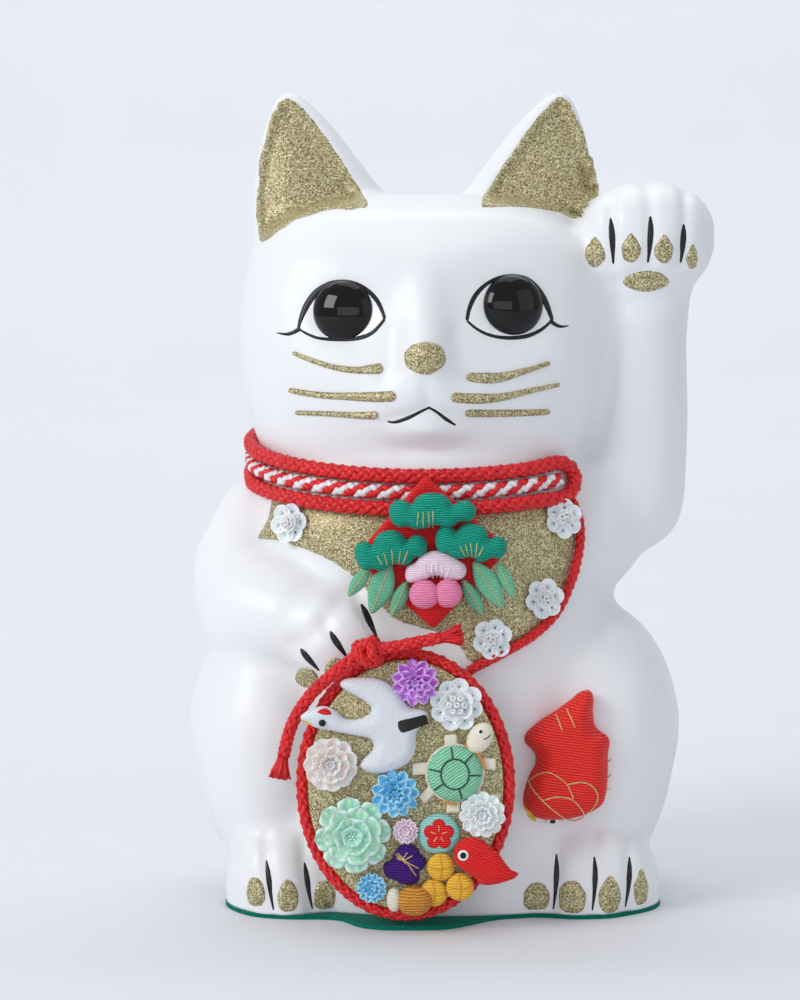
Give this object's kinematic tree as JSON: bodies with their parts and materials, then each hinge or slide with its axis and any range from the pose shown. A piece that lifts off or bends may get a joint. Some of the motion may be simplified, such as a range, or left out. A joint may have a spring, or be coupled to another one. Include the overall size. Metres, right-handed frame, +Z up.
{
  "type": "beckoning cat figurine",
  "caption": "Seated ceramic beckoning cat with a raised paw, a glitter bib, braided cords and an oval board of crepe and resin motifs, for display.",
  "frame": {"origin": "centre of the felt base's underside, on the surface that the figurine stands on", "axes": "+Z up, the cat faces -Y, +X is the cat's left, the side of the raised paw"},
  "size_m": [0.1692, 0.1474, 0.2573],
  "materials": {
    "pearl_white": "satin pearl glaze over slip-cast earthenware",
    "felt_green": "dark green felt",
    "eye_glass": "polished black glass cabochon",
    "black_paint": "hand-painted black lacquer strokes",
    "red_cord": "braided red rayon cord",
    "striped_cord": "braided red and white rayon cord",
    "gold_glitter": "pale gold glitter in clear binder",
    "red_crepe": "red crepe silk, stuffed",
    "green_crepe": "green crepe silk, stuffed",
    "leaf_crepe": "mint green crepe silk",
    "pale_pink_crepe": "pale pink crepe silk, stuffed",
    "pink_crepe": "pink crepe silk, stuffed",
    "white_crepe": "white crepe silk, stuffed",
    "mint_crepe": "mint crepe silk, stuffed",
    "cream_crepe": "cream crepe silk, stuffed",
    "aqua_crepe": "aqua crepe silk",
    "purple_crepe": "deep purple crepe silk, stuffed",
    "yellow_crepe": "yellow crepe silk, stuffed",
    "brown_crepe": "golden brown crepe silk",
    "gold_thread": "gold embroidery thread",
    "sequin": "iridescent white sequins and clear beads",
    "purple_resin": "moulded purple resin",
    "peach_resin": "moulded pale peach resin",
    "blue_resin": "moulded sky blue resin",
    "mint_resin": "moulded mint resin",
    "pink_resin": "moulded pink resin",
    "white_resin": "moulded white resin"
  },
  "bodies": {
    "root": {"body_casting": "pearl_white", "base_felt": "felt_green", "eye_left": "eye_glass", "eye_right": "eye_glass", "collar_cord_red": "red_cord", "collar_cord_striped": "striped_cord", "bib_panel": "gold_glitter", "bib_edge_cord": "red_cord", "sequin_flower_1": "sequin", "sequin_flower_2": "sequin", "sequin_flower_3": "sequin", "sequin_flower_4": "sequin", "diamond_patch": "red_crepe", "pine_pad_top": "green_crepe", "pine_pad_left": "green_crepe", "pine_pad_right": "green_crepe", "plum_crown": "pale_pink_crepe", "plum_petal_left": "pink_crepe", "plum_petal_right": "pink_crepe", "bamboo_leaf_1": "leaf_crepe", "bamboo_leaf_2": "leaf_crepe", "bamboo_leaf_3": "leaf_crepe", "bamboo_leaf_4": "leaf_crepe", "bamboo_leaf_5": "leaf_crepe", "bamboo_leaf_6": "leaf_crepe", "plaque_board": "gold_glitter", "plaque_edge_cord": "red_cord", "plaque_knot": "red_cord", "tail_cord_right": "red_cord", "tail_cord_left": "red_cord", "dahlia_purple": "purple_resin", "sequin_flower_large": "sequin", "dahlia_peach": "peach_resin", "dahlia_blue": "blue_resin", "rose_mint": "mint_resin", "mum_pink": "pink_resin", "dahlia_white": "white_resin", "mum_blue": "blue_resin", "crane": "white_crepe", "turtle_limbs": "cream_crepe", "turtle_shell": "mint_crepe", "turtle_head": "cream_crepe", "emblem_disc": "aqua_crepe", "pouch": "purple_crepe", "fish_small": "red_crepe", "coin_1": "yellow_crepe", "coin_2": "yellow_crepe", "coin_3": "yellow_crepe", "mallet_barrel": "brown_crepe", "mallet_end": "white_crepe", "plush_fish": "red_crepe"}
  },
  "joints": []
}
